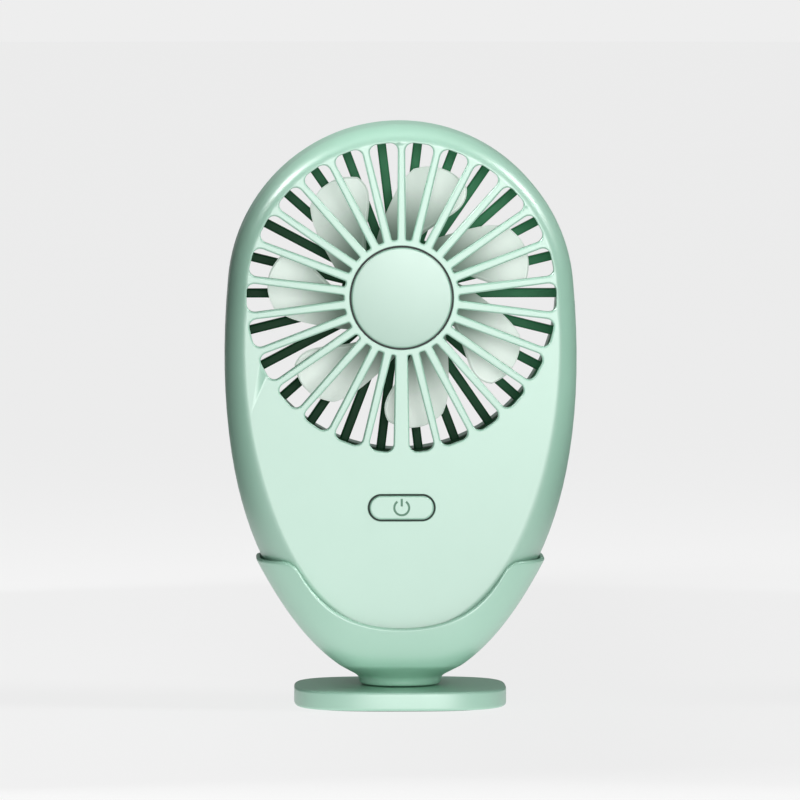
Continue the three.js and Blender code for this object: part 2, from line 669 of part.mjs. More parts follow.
[['red', 1, redPlastic], ['black', -1, blackPlastic]].forEach(([name, side, look]) => {
  addPiece(fan, `motor_lead_${name}`, solid(wire([
    [side * 0.95, -12.6, hubHeight - 11.1], [side * 0.95, -12.7, hubHeight - 14],
    [side * 0.95, -13.1, hubHeight - 24], [side * 0.95, -13.1, hubHeight - 35],
    [side * 0.95, -12.5, hubHeight - 37.4], [side * 1.6, -9.6, hubHeight - 38.6],
  ], 0.5)), look);
  addPiece(fan, `battery_lead_${name}`, solid(wire([
    [side * 4, -1, 52.8], [side * 4, -1.6, 53.9], [side * 4.5, -4, 54.4],
    [side * 5, -6.4, 53.4], [side * 5, -7, 50.6],
  ], 0.6)), look);
  addPiece(fan, `charge_lead_${name}`, solid(wire([
    [side * 3, 7.9, 23], [side * 3, 7.2, 21], [side * 3, 3, 20.4], [side * 3, -3, 20.6],
    [side * 3, -7, 22.5], [side * 3, -8.5, 27], [side * 3, -8.5, 35.1],
  ], 0.5)), look);
});

addPiece(fan, 'cradle', cradle(), mint);
addPiece(fan, 'seat_pad', seatPad(), greyRubber);
addPiece(fan, 'base_plate', basePlate(), mint);
addPiece(fan, 'ballast', ballast(), steel);
addPiece(fan, 'foot_pad', footPad(), greyRubber);
dockScrewPlaces.forEach(([x, y], i) => addPiece(fan, `dock_screw_${i + 1}`, dockScrew(x, y), steel));

export default fan;
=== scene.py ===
import json
import math
import bmesh
import bpy
from mathutils import Matrix, Vector


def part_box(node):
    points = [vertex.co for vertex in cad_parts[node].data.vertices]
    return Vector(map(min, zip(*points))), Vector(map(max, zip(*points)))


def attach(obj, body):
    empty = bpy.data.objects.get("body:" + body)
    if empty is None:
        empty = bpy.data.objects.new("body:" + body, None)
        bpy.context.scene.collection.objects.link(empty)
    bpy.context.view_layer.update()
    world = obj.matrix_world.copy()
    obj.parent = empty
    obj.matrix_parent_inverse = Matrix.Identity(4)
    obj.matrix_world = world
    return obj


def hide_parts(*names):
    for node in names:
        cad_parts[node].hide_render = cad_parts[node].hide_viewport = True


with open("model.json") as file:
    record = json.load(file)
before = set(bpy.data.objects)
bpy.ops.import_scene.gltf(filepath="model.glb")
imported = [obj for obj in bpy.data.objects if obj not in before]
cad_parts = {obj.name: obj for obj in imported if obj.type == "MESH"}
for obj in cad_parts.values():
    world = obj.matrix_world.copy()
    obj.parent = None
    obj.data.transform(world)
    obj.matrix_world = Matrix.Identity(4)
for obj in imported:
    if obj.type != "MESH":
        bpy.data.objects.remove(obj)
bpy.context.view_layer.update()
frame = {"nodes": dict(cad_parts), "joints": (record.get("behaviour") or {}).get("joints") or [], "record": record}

perMetre = 1000  # pieces are modelled in millimetres, and finishPiece brings them to metres
quarterTurn = math.pi / 2


def cadBox(node):
    low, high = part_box(node)
    return low * perMetre, high * perMetre


spinJoint = [j for j in frame["joints"] if j["name"] == "impeller_spin"][0]
hub = Vector(spinJoint["pos_m"]) * perMetre
shellLow, shellHigh = cadBox("front_shell")
faceY = shellLow.y  # the flat front of the body
backY = cadBox("rear_shell")[1].y
headRadius = shellHigh.z - hub.z


# Tools for working on one piece
flatness = 0.9999  # a face whose normal has this much y counts as flat to the front or back


def deselectAll():
    if bpy.context.object and bpy.context.object.mode != "OBJECT":
        bpy.ops.object.mode_set(mode="OBJECT")
    bpy.ops.object.select_all(action="DESELECT")


def choose(*pieces):
    deselectAll()
    for piece in pieces:
        piece.select_set(True)
    bpy.context.view_layer.objects.active = pieces[0]


def startEdit(piece):
    choose(piece)
    bpy.ops.object.mode_set(mode="EDIT")


def endEdit():
    bpy.ops.object.mode_set(mode="OBJECT")


def pick(piece, kind, test):
    bpy.ops.mesh.select_mode(type=kind)
    bpy.ops.mesh.select_all(action="DESELECT")
    shape = bmesh.from_edit_mesh(piece.data)
    parts = {"VERT": shape.verts, "EDGE": shape.edges, "FACE": shape.faces}[kind]
    for part in parts:
        if test(part):
            part.select_set(True)
    bmesh.update_edit_mesh(piece.data)


def middle(part):
    return sum((v.co for v in part.verts), Vector()) / len(part.verts)


def extrudeBy(x=0, y=0, z=0):
    bpy.ops.mesh.extrude_region_move(TRANSFORM_OT_translate={"value": (x, y, z)})


def setPlace():
    bpy.ops.object.transform_apply(location=True, rotation=True, scale=True)
    return bpy.context.object


def useModifier(piece, kind, **settings):
    choose(piece)
    modifier = piece.modifiers.new(kind.lower(), kind)
    for name, value in settings.items():
        setattr(modifier, name, value)
    bpy.ops.object.modifier_apply(modifier=modifier.name)


def roundEdges(piece, width, segments=3, angle=50, clamp=True):
    useModifier(piece, "BEVEL", width=width, segments=segments, limit_method="ANGLE",
                angle_limit=math.radians(angle), use_clamp_overlap=clamp)


def joinPieces(pieces):
    choose(*pieces)
    if len(pieces) > 1:
        bpy.ops.object.join()
    return bpy.context.object


def cutAway(piece, cutter):
    useModifier(piece, "BOOLEAN", operation="DIFFERENCE", solver="EXACT", object=cutter)
    bpy.data.objects.remove(cutter)


def faceOut(piece):
    startEdit(piece)
    bpy.ops.mesh.select_all(action="SELECT")
    bpy.ops.mesh.remove_doubles(threshold=0.0005)
    bpy.ops.mesh.normals_make_consistent(inside=False)
    endEdit()


def evenFlats(piece):
    # the flat front and back shade as flat right up to the rims cut in them
    normals = [Vector(corner.vector) for corner in piece.data.corner_normals]
    for face in piece.data.polygons:
        if abs(face.normal.y) > flatness:
            for corner in face.loop_indices:
                normals[corner] = face.normal.copy()
    piece.data.normals_split_custom_set(normals)


def finishPiece(piece, name, body, material, nodes=(), sharp=38):
    choose(piece)
    bpy.ops.object.shade_smooth_by_angle(angle=math.radians(sharp))
    useModifier(piece, "WEIGHTED_NORMAL", keep_sharp=True, weight=50)
    evenFlats(piece)
    piece.data.transform(Matrix.Scale(1 / perMetre, 4) @ piece.matrix_world)
    piece.matrix_world = Matrix.Identity(4)
    piece.name = piece.data.name = name
    piece.data.materials.clear()
    piece.data.materials.append(material)
    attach(piece, body)
    if nodes:
        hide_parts(*nodes)
    print("finished", name)
    return piece


# Flat starts: each is one face at y, seen from the front or from the back

def flatDisc(radius, y, inward, x=0, z=0, sides=64):
    bpy.ops.mesh.primitive_circle_add(vertices=sides, radius=radius, fill_type="NGON",
                                      location=(x, y, z), rotation=(-inward * quarterTurn, 0, 0))
    return setPlace()


def flatStadium(width, height, y, inward, z, sides=48):
    disc = flatDisc(height / 2, y, inward, 0, z, sides)
    startEdit(disc)
    for side in (-1, 1):
        pick(disc, "VERT", lambda v: v.co.x * side > 0.001)
        bpy.ops.transform.translate(value=(side * (width - height) / 2, 0, 0))
    endEdit()
    return disc


def drill(flat, inward, flare, depth, lead=1, steps=4):
    # makes a flat mouth into a cutter whose rim rounds over by flare and then runs straight in
    startEdit(flat)
    bpy.ops.mesh.select_all(action="SELECT")
    extrudeBy(y=inward * lead)
    bends = [quarterTurn * i / steps for i in range(steps + 1)]
    for before, after in zip(bends, bends[1:]):
        bpy.ops.mesh.inset(thickness=flare * (math.sin(after) - math.sin(before)),
                           depth=flare * (math.cos(before) - math.cos(after)))
    extrudeBy(y=inward * (depth - flare))
    endEdit()
    faceOut(flat)
    return flat


# Shader maths on sockets

class Shade:
    def __init__(self, tree, socket):
        self.tree = tree
        self.socket = socket

    def combine(self, operation, other, swapped=False):
        pair = (other, self) if swapped else (self, other)
        return addNode(self.tree, "ShaderNodeMath", {"operation": operation}, dict(enumerate(pair)))

    def __add__(self, other):
        return self.combine("ADD", other)

    def __sub__(self, other):
        return self.combine("SUBTRACT", other)

    def __rsub__(self, other):
        return self.combine("SUBTRACT", other, swapped=True)

    def __mul__(self, other):
        return self.combine("MULTIPLY", other)

    __radd__ = __add__
    __rmul__ = __mul__


def addNode(tree, kind, settings=None, inputs=None, output=0):
    node = tree.nodes.new(kind)
    for name, value in (settings or {}).items():
        setattr(node, name, value)
    for name, value in (inputs or {}).items():
        if isinstance(value, Shade):
            tree.links.new(value.socket, node.inputs[name])
        else:
            node.inputs[name].default_value = value
    return Shade(tree, node.outputs[output])


def linear(colour):
    # a colour as a painter names it, 0 to 255, as light
    parts = [c / 255 for c in colour]
    light = [c / 12.92 if c <= 0.04045 else ((c + 0.055) / 1.055) ** 2.4 for c in parts]
    return (*light, 1)


class Finish:
    # a principled material, with what changes over its surface as expressions
    def __init__(self, name, roughness=0.5, metallic=0, **fixed):
        self.material = bpy.data.materials.new(name)
        self.material.use_nodes = True
        self.tree = self.material.node_tree
        self.shader = self.tree.nodes["Principled BSDF"]
        self.set("Roughness", roughness)
        self.set("Metallic", metallic)
        for socket, value in fixed.items():
            self.set(socket, value)
        coordinates = self.tree.nodes.new("ShaderNodeTexCoord")
        self.place = Shade(self.tree, coordinates.outputs["Object"])

    def node(self, kind, settings=None, inputs=None, output=0):
        return addNode(self.tree, kind, settings, inputs, output)

    def set(self, socket, value):
        socket = self.shader.inputs[socket]
        if isinstance(value, Shade):
            self.tree.links.new(value.socket, socket)
        else:
            socket.default_value = value

    def noise(self, size, detail=2, roughness=0.5):
        # size is the width of one blotch in millimetres
        return self.node("ShaderNodeTexNoise", None, {
            "Vector": self.place, "Scale": perMetre / size, "Detail": detail, "Roughness": roughness})

    def blend(self, share, first, second):
        return self.node("ShaderNodeMix", {"data_type": "RGBA"}, {0: share, 6: first, 7: second}, 2)

    def soften(self, value, low, high):
        return self.node("ShaderNodeMapRange", {"interpolation_type": "SMOOTHSTEP"}, {
            "Value": value, "From Min": low, "From Max": high})

    def bump(self, height, depth, strength=1.0):
        # depth is how far the bump stands out, in millimetres
        self.set("Normal", self.node("ShaderNodeBump", None, {
            "Height": height, "Distance": depth / perMetre, "Strength": strength}))

    def axis(self, name):
        return self.node("ShaderNodeSeparateXYZ", None, {0: self.place}, "XYZ".index(name))


# Finishes

mintLook = {"colour": (152, 198, 176), "pale": (160, 204, 183), "roughness": 0.38, "grain": 0.28,
            "shine": 1.0, "bend": 1.75}


def mintFinish(name, tone=1.0):
    # tone makes a part a little lighter or darker than the body
    finish = Finish(name)
    first, second = [tuple(part * tone for part in mintLook[key]) for key in ("colour", "pale")]
    grain = finish.noise(mintLook["grain"], detail=3, roughness=0.6)
    cloud = finish.noise(9, detail=2)
    finish.set("Base Color", finish.blend(grain * 0.45 + cloud * 0.55, linear(first), linear(second)))
    finish.set("Roughness", mintLook["roughness"] + (grain - 0.5) * 0.16)
    finish.set("Specular IOR Level", mintLook["shine"])
    finish.set("IOR", mintLook["bend"])
    finish.bump(grain, 0.012, 0.35)
    return finish.material


def plainPlastic(name, colour, second, roughness, grain=0.3, depth=0.01):
    finish = Finish(name)
    fine = finish.noise(grain, detail=3)
    cloud = finish.noise(6)
    finish.set("Base Color", finish.blend(fine * 0.4 + cloud * 0.6, linear(colour), linear(second)))
    finish.set("Roughness", roughness + (cloud - 0.5) * 0.12)
    finish.bump(fine, depth, 0.3)
    return finish.material


def metalFinish(name, colour, roughness, streak=0.12):
    finish = Finish(name, metallic=1)
    fine = finish.noise(streak, detail=4)
    cloud = finish.noise(2.5)
    second = tuple(c * 0.82 for c in colour)
    finish.set("Base Color", finish.blend(cloud, linear(colour), linear(second)))
    finish.set("Roughness", roughness + (fine - 0.5) * 0.2)
    finish.bump(fine, 0.004, 0.3)
    return finish.material


def bladeFinish():
    # white plastic; painted shade and a painted green reflection grey the blades towards the hub, and a painted
    # glow brightens the tips
    finish = Finish("bladePaintedShadeAndGlow")
    fine = finish.noise(0.5, detail=2)
    x = finish.axis("X") * perMetre
    z = finish.axis("Z") * perMetre - hub.z
    reach = finish.node("ShaderNodeMath", {"operation": "SQRT"}, {0: x * x + z * z})
    tip = finish.soften(reach, 13, 27)
    # painted shade: greenish grey at the roots, white at the tips
    finish.set("Base Color", finish.blend(tip, linear((178, 192, 182)), linear((244, 249, 245))))
    # painted light: the tips glow, though the blade is no lamp
    finish.set("Emission Color", finish.blend(tip, linear((20, 24, 21)), linear((150, 156, 151))))
    finish.set("Emission Strength", 0.8)
    finish.set("Roughness", 0.38 + (fine - 0.5) * 0.1)
    finish.bump(fine, 0.008, 0.25)
    return finish.material


def guardFinish():
    # dark green as painted shade for the shadowed inside behind the blades, with painted light making it lighter
    # towards the upper right
    finish = Finish("guardPaintedShade")
    finish.set("Specular IOR Level", 0.15)
    fine = finish.noise(0.3, detail=3)
    paintedLightSlope = (finish.axis("X") + finish.axis("Z") - hub.z / perMetre) * perMetre
    light = finish.soften(paintedLightSlope + (finish.noise(9) - 0.5) * 12, -25, 50)
    # painted shade at the lower left, painted light towards the upper right
    finish.set("Base Color", finish.blend(light, linear((18, 66, 38)), linear((70, 146, 104))))
    finish.set("Roughness", 0.45 + (fine - 0.5) * 0.12)
    finish.bump(fine, 0.01, 0.3)
    return finish.material


def boardFinish():
    finish = Finish("circuitBoard", roughness=0.4)
    tracks = finish.node("ShaderNodeTexBrick", None, {
        "Vector": finish.place, "Scale": 260.0, "Color1": linear((30, 92, 58)),
        "Color2": linear((24, 78, 48)), "Mortar": linear((58, 128, 84))})
    finish.set("Base Color", tracks)
    finish.bump(finish.noise(0.6), 0.02, 0.4)
    return finish.material


capMint = mintFinish("capMint", 0.93)
# painted light: the dock's mint is lighter than the body's, standing in for light its bowl and plate catch
dockMintPaintedLight = mintFinish("dockMintPaintedLight", 1.07)
signPaint = plainPlastic("signPaint", (92, 138, 114), (98, 144, 120), 0.5)
finishes = {
    "mint_plastic": mintFinish("mintPlastic"),
    "dark_green_plastic": guardFinish(),
    "white_plastic": bladeFinish(),
    "black_plastic": plainPlastic("blackPlastic", (26, 27, 29), (34, 35, 37), 0.5),
    "red_plastic": plainPlastic("redJacket", (168, 34, 30), (182, 44, 38), 0.4),
    "circuit_board": boardFinish(),
    "steel": metalFinish("zincSteel", (196, 199, 204), 0.3),
    "dark_steel": metalFinish("darkLaminations", (96, 99, 104), 0.42),
    "bronze": metalFinish("sinteredBronze", (172, 128, 78), 0.45),
    "copper": metalFinish("enamelledCopper", (196, 112, 66), 0.32),
    "cell_film": metalFinish("cellFilm", (172, 177, 184), 0.38, 0.8),
    "grey_rubber": plainPlastic("greyRubber", (66, 70, 69), (78, 82, 80), 0.85, 0.4, 0.03),
    "grey_foam": plainPlastic("greyFoam", (98, 102, 103), (120, 124, 125), 0.95, 0.7, 0.15),
}

for part in frame["record"]["subparts"]:
    node = frame["nodes"][part["node"]]
    node.data.materials.clear()
    node.data.materials.append(finishes[part["material_slot"]])
print("finishes made")


# The camera, the floor and the light

shot = {"distance": 2350, "turn": math.radians(-1.3), "height": 216, "aim": 68.4, "width": 179.3,
        "sensor": 36}


def addCamera():
    bpy.ops.object.camera_add()
    camera = bpy.context.object
    turn, distance = shot["turn"], shot["distance"]
    place = Vector((distance * math.sin(turn), -distance * math.cos(turn), shot["height"])) / perMetre
    aim = Vector((0, 0, shot["aim"])) / perMetre
    camera.location = place
    camera.rotation_euler = (aim - place).to_track_quat("-Z", "Y").to_euler()
    camera.data.sensor_width = shot["sensor"]
    camera.data.lens = shot["sensor"] * (aim - place).length * perMetre / shot["width"]
    camera.data.clip_end = 50
    bpy.context.scene.camera = camera


room = {"floor": 8, "wall": 5.2, "height": 3, "paper": (100, 100, 100), "glow": 0.8, "farGlow": 0.855}


def addRoom():
    # a wide pale sheet under the object, and a far pale wall all round that only the camera sees
    bpy.ops.mesh.primitive_circle_add(vertices=96, radius=room["floor"], fill_type="NGON")
    sheet = bpy.context.object
    sheet.name = "floor"
    paper = Finish("palePaper", roughness=0.95)
    second = tuple(c + 2 for c in room["paper"])
    paper.set("Base Color", paper.blend(paper.noise(40), linear(room["paper"]), linear(second)))
    paper.set("Specular IOR Level", 0.0)
    paper.set("Emission Color", (1, 1, 1, 1))
    paper.set("Emission Strength", room["glow"])
    sheet.data.materials.append(paper.material)
    bpy.ops.mesh.primitive_cylinder_add(
        vertices=96, radius=room["wall"], depth=room["height"], end_fill_type="NOTHING",
        location=(0, 0, room["height"] / 2 - 0.05))
    wall = setPlace()
    wall.name = "farWall"
    pale = Finish("farPaper", roughness=1)
    pale.set("Base Color", (0, 0, 0, 1))
    pale.set("Specular IOR Level", 0.0)
    pale.set("Emission Color", (1, 1, 1, 1))
    pale.set("Emission Strength", room["farGlow"])
    wall.data.materials.append(pale.material)
    for kind in ("diffuse", "glossy", "transmission", "volume_scatter", "shadow"):
        setattr(wall, "visible_" + kind, False)


cards = {"away": 0.13, "near": -0.2, "far": 0.3, "heights": (0.2, 0.13), "shade": (40, 40, 40),
         "second": (44, 44, 44)}


def addCards():
    # dark cards just out of sight at both sides, which deepen the body's rounded edges
    paper = Finish("darkCard", roughness=0.95)
    shades = linear(cards["shade"]), linear(cards["second"])
    paper.set("Base Color", paper.blend(paper.noise(20), *shades))
    for side, height in zip((-1, 1), cards["heights"]):
        bpy.ops.mesh.primitive_plane_add(size=1, rotation=(0, quarterTurn, 0))
        card = setPlace()
        startEdit(card)
        bpy.ops.mesh.select_all(action="SELECT")
        bpy.ops.transform.resize(value=(1, cards["far"] - cards["near"], height))
        bpy.ops.transform.translate(value=(
            side * cards["away"], (cards["near"] + cards["far"]) / 2, height / 2))
        endEdit()
        card.name = "cardLeft" if side < 0 else "cardRight"
        card.data.materials.append(paper.material)
        card.visible_camera = False


def addLight(name, size, power, place, spread, aim=(0, 0, 0.09)):
    bpy.ops.object.light_add(type="AREA", location=place)
    light = bpy.context.object
    light.name = name
    light.data.shape = "RECTANGLE"
    light.data.size, light.data.size_y = size
    light.data.energy = power
    light.data.spread = math.radians(spread)
    light.rotation_euler = (Vector(aim) - Vector(place)).to_track_quat("-Z", "Y").to_euler()
    light.visible_camera = False


studio = {
    "world": 0.26,
    "lights": [
        # name, size, power, place, spread
        ("keyLight", (1.4, 0.75), 32, (0.35, -2.7, 0.36), 180),
        ("topLight", (1.0, 0.6), 1.1, (0.1, -0.1, 1.2), 180),
        ("rightLight", (0.5, 0.5), 0.9, (1.3, -0.3, 1.15), 40),
        ("leftLight", (0.5, 0.5), 1.6, (-1.3, -0.3, 1.15), 40),
    ],
}


def addLights():
    world = bpy.data.worlds.new("studio")
    bpy.context.scene.world = world
    world.use_nodes = True
    sky = world.node_tree.nodes["Background"].inputs
    sky["Color"].default_value = (1, 1, 1, 1)
    sky["Strength"].default_value = studio["world"]
    for light in studio["lights"]:
        addLight(*light)
    bpy.context.scene.view_settings.view_transform = "Standard"


addCamera()
addRoom()
addCards()
addLights()
print("camera, room and lights made")


# The egg-shaped body. Its outline is a circle round the hub that runs on down into a curve at each side.

egg = {
    "arcEnd": 0.0915, "arcHandle": 19.95, "sideHandle": 60, "footHandle": 22, "smooth": 32,
    "headEdge": 4.2, "footEdge": 7, "stretch": 1.75, "steps": 10, "apron": 12, "wall": 2.2, "seam": 0.07,
}


def mirrored(point):
    return Vector((-point.x, point.y, point.z))


def eggOutline(y):
    bpy.ops.curve.primitive_bezier_circle_add()
    outline = bpy.context.object
    outline.data.resolution_u = egg["smooth"]
    turn = egg["arcEnd"]
    across = Vector((1, 0, 0))
    down = Vector((math.sin(turn), 0, -math.cos(turn)))
    top = Vector((0, y, hub.z + headRadius))
    foot = Vector((0, y, shellLow.z))
    side = Vector((headRadius * math.cos(turn), y, hub.z + headRadius * math.sin(turn)))
    above = side - down * egg["arcHandle"]
    below = side + down * egg["sideHandle"]
    knots = [
        (top, top - across * egg["arcHandle"], top + across * egg["arcHandle"]),
        (side, above, below),
        (foot, foot + across * egg["footHandle"], foot - across * egg["footHandle"]),
        (mirrored(side), mirrored(below), mirrored(above)),
    ]
    for point, (place, before, after) in zip(outline.data.splines[0].bezier_points, knots):
        point.handle_left_type = point.handle_right_type = "FREE"
        point.co, point.handle_left, point.handle_right = place, before, after
    bpy.ops.object.convert(target="MESH")
    return bpy.context.object


def edgeSize(z):
    share = min(max((hub.z - z - 15) / 35, 0), 1)
    share = share * share * (3 - 2 * share)
    return egg["headEdge"] + (egg["footEdge"] - egg["headEdge"]) * share


def eggSolid():
    # the edge is rounded while the body is squeezed, so that it ends deeper than it is wide
    squeezed = faceY / egg["stretch"]
    body = eggOutline(squeezed)
    startEdit(body)
    bpy.ops.mesh.select_all(action="SELECT")
    bpy.ops.mesh.edge_face_add()
    extrudeBy(y=-2 * squeezed)
    for end in (-1, 1):
        pick(body, "FACE", lambda f: len(f.verts) > 4 and middle(f).y * end > 0)
        bpy.ops.mesh.inset(thickness=egg["apron"])
    endEdit()
    faceOut(body)
    shape = bmesh.new()
    shape.from_mesh(body.data)
    weight = shape.edges.layers.float.new("bevel_weight_edge")
    for edge in shape.edges:
        if edge.calc_face_angle() > 1.2:
            edge[weight] = edgeSize(middle(edge).z) / egg["footEdge"]
    shape.to_mesh(body.data)
    shape.free()
    useModifier(body, "BEVEL", width=egg["footEdge"], segments=egg["steps"], limit_method="WEIGHT",
                use_clamp_overlap=False)
    startEdit(body)
    bpy.ops.mesh.select_all(action="SELECT")
    bpy.ops.transform.resize(value=(1, egg["stretch"], 1), center_override=(0, 0, 0))
    endEdit()
    return body


def hollowOf(wall):
    # the same body shrunk by the wall all round
    hollow = eggSolid()
    size = shellHigh - shellLow
    startEdit(hollow)
    bpy.ops.mesh.select_all(action="SELECT")
    bpy.ops.transform.resize(
        value=(1 - 2 * wall / size.x, 1 + wall / faceY, 1 - 2 * wall / size.z),
        center_override=(0, 0, (shellLow.z + shellHigh.z) / 2))
    endEdit()
    return hollow


def halfShell(side):
    # side is -1 for the front half and 1 for the back half
    shell = eggSolid()
    startEdit(shell)
    bpy.ops.mesh.select_all(action="SELECT")
    bpy.ops.mesh.bisect(plane_co=(0, side * egg["seam"], 0), plane_no=(0, -side, 0), clear_outer=True,
                        use_fill=True)
    endEdit()
    faceOut(shell)
    cutAway(shell, hollowOf(egg["wall"]))
    roundEdges(shell, 0.2, 2, 70)
    return shell


# The grille's slots. Their rims are rounded over by the cutter itself.

grille = {
    "ribs": 26, "inner": 12.9, "outer": 34.7, "slim": (0.98, 0.78), "wide": (1.4, 1.8),
    "outerCorner": 2.1, "innerCorner": 0.22, "flare": 0.36, "depth": 3.4,
}
slotPitch = 2 * math.pi / grille["ribs"]


def turnPicked(angle):
    # clockwise as seen from the front; with no window the operator turns the other way
    bpy.ops.transform.rotate(value=-angle, orient_axis="Y", center_override=hub)


def slotCutter(ribLeft, ribRight, angle):
    bpy.ops.mesh.primitive_plane_add(size=2, location=(0, faceY - 1, hub.z),
                                     rotation=(-quarterTurn, 0, 0))
    slot = setPlace()
    flare = grille["flare"]
    for vertex in slot.data.vertices:
        side = 1 if vertex.co.x > 0 else -1
        outside = vertex.co.z > hub.z
        rib = (ribRight if side > 0 else ribLeft)[1 if outside else 0] - flare
        reach = grille["outer"] + flare if outside else grille["inner"] - flare
        lean = side * slotPitch / 2
        vertex.co.x = reach * math.sin(lean) - side * rib * math.cos(lean)
        vertex.co.z = hub.z + reach * math.cos(lean) + rib * math.sin(lean) * side
    startEdit(slot)
    half = hub.z + grille["outer"] / 2
    pick(slot, "VERT", lambda v: v.co.z > half)
    bpy.ops.mesh.bevel(affect="VERTICES", offset=grille["outerCorner"] + flare, segments=7)
    pick(slot, "VERT", lambda v: v.co.z < half)
    bpy.ops.mesh.bevel(affect="VERTICES", offset=grille["innerCorner"] + flare, segments=3)
    endEdit()
    drill(slot, 1, flare, grille["depth"], steps=3)
    startEdit(slot)
    bpy.ops.mesh.select_all(action="SELECT")
    turnPicked(angle)
    endEdit()
    return slot


def grilleCutter():
    # the rib straight down is wide, so the two slots beside it are made on their own
    bottom = grille["ribs"] // 2
    first = slotCutter(grille["slim"], grille["slim"], (bottom + 1.5) * slotPitch)
    startEdit(first)
    bpy.ops.mesh.select_all(action="SELECT")
    more = grille["ribs"] - 3
    bpy.ops.mesh.spin(steps=more, dupli=True, angle=-more * slotPitch, center=hub, axis=(0, 1, 0))
    endEdit()
    before = slotCutter(grille["slim"], grille["wide"], (bottom - 0.5) * slotPitch)
    after = slotCutter(grille["wide"], grille["slim"], (bottom + 0.5) * slotPitch)
    return joinPieces([first, before, after])


cap = {"radius": 11.2, "groove": 0.42, "edge": 0.4, "front": -0.05, "back": 1.2, "flare": 0.12,
       "recess": 1.5, "crown": 0.28, "crownRings": 9, "shadeThick": 0.9, "shadeGrip": 0.1, "shadeInner": 0.4}
button = {"width": 14.3, "height": 5.3, "z": 45.4, "front": -0.35, "back": 3, "groove": 0.4, "edge": 0.4,
          "shadeDepth": 0.7, "shadeThick": 0.6, "shadeGrip": 0.3, "shadeInner": 0.25}


def buildFrontShell():
    shell = halfShell(-1)
    flare = cap["flare"]
    seat = flatDisc(cap["radius"] + cap["groove"] + flare, faceY - 1, 1, 0, hub.z, 128)
    drill(seat, 1, flare, cap["recess"])
    spread = 2 * (button["groove"] + flare)
    mouth = flatStadium(button["width"] + spread, button["height"] + spread, faceY - 1, 1, button["z"])
    drill(mouth, 1, flare, button["back"] + 1)
    cutAway(shell, joinPieces([grilleCutter(), seat, mouth]))
    startEdit(shell)  # one face for each flat area shades evenly
    pick(shell, "FACE", lambda f: abs(f.normal.y) > flatness)
    bpy.ops.mesh.dissolve_limited(angle_limit=0.01)
    endEdit()
    finishPiece(shell, "frontShell", "fan_body", finishes["mint_plastic"],
                ["front_shell"])


def cupDisc(radius, front, back, x=0, z=None, sides=96):
    # a disc or rod that lies across the body, from y front to y back
    bpy.ops.mesh.primitive_cylinder_add(
        vertices=sides, radius=radius, depth=back - front,
        location=(x, (front + back) / 2, hub.z if z is None else z), rotation=(quarterTurn, 0, 0))
    return setPlace()


def tubeRing(outer, wall, front, back, edge=0.25, sides=128):
    bpy.ops.mesh.primitive_cylinder_add(
        vertices=sides, radius=outer, depth=back - front, end_fill_type="NOTHING",
        location=(0, (front + back) / 2, hub.z), rotation=(quarterTurn, 0, 0))
    ring = setPlace()
    useModifier(ring, "SOLIDIFY", thickness=wall, offset=-1)
    roundEdges(ring, edge, 2, 50)
    return ring


duct = {"outer": 36.8, "wall": 0.8, "front": -14.6, "back": 3.2}


def buildAirDuct():
    ring = tubeRing(duct["outer"], duct["wall"], duct["front"], duct["back"], 0.15)
    finishPiece(ring, "airDuct", "fan_body", finishes["mint_plastic"], ["front_shell"])


def crownFace(piece, y, radius, height, rings):
    # raises the flat face at y, which looks to the front, into a shallow dome
    pick(piece, "FACE", lambda f: len(f.verts) > 4 and abs(middle(f).y - y) < 0.01)
    radii = [radius * (1 - i / (rings + 1)) for i in range(rings + 1)]
    for wide, narrow in zip(radii, radii[1:]):
        rise = height * (wide ** 2 - narrow ** 2) / radius ** 2
        bpy.ops.mesh.inset(thickness=wide - narrow, depth=rise)


def buildHubCap():
    front = faceY + cap["front"]
    disc = cupDisc(cap["radius"], front, faceY + cap["back"], sides=160)
    roundEdges(disc, cap["edge"], 4)
    startEdit(disc)
    crownFace(disc, front, cap["radius"] - cap["edge"], cap["crown"], cap["crownRings"])
    endEdit()
    finishPiece(disc, "hubCap", "fan_body", capMint, ["hub_cap"])
    # painted shade: a black ring in the floor of the groove round the cap stands in for the groove's shadow
    floor = faceY + cap["recess"]
    grooveShade = tubeRing(cap["radius"] + cap["groove"] + cap["shadeGrip"], cap["groove"] + cap["shadeInner"],
                    floor - cap["shadeThick"], floor, 0.1)
    finishPiece(grooveShade, "capGrooveShade", "fan_body", finishes["black_plastic"])


# The power button and its engraved sign

sign = {"radius": 1.9, "stroke": 0.48, "open": 35, "barTop": 2.0, "barFoot": 0.3, "depth": 0.3,
        "fill": 0.14}


def signSolid(front, back):
    # a broken ring with a bar through the gap
    ring = flatDisc(sign["radius"], front, 1, 0, button["z"], 72)
    startEdit(ring)
    bpy.ops.mesh.select_all(action="SELECT")
    bpy.ops.mesh.inset(thickness=sign["stroke"])
    pick(ring, "FACE", lambda f: len(f.verts) > 4)
    bpy.ops.mesh.delete(type="FACE")
    reach = math.tan(math.radians(sign["open"]))
    pick(ring, "FACE", lambda f: abs(middle(f).x) < reach * (middle(f).z - button["z"]))
    bpy.ops.mesh.delete(type="FACE")
    bpy.ops.mesh.select_all(action="SELECT")
    extrudeBy(y=back - front)
    endEdit()
    size = (sign["stroke"], back - front, sign["barTop"] - sign["barFoot"])
    bpy.ops.mesh.primitive_cube_add(size=1, scale=size, location=(
        0, (front + back) / 2, button["z"] + (sign["barTop"] + sign["barFoot"]) / 2))
    whole = joinPieces([ring, setPlace()])
    faceOut(whole)
    return whole


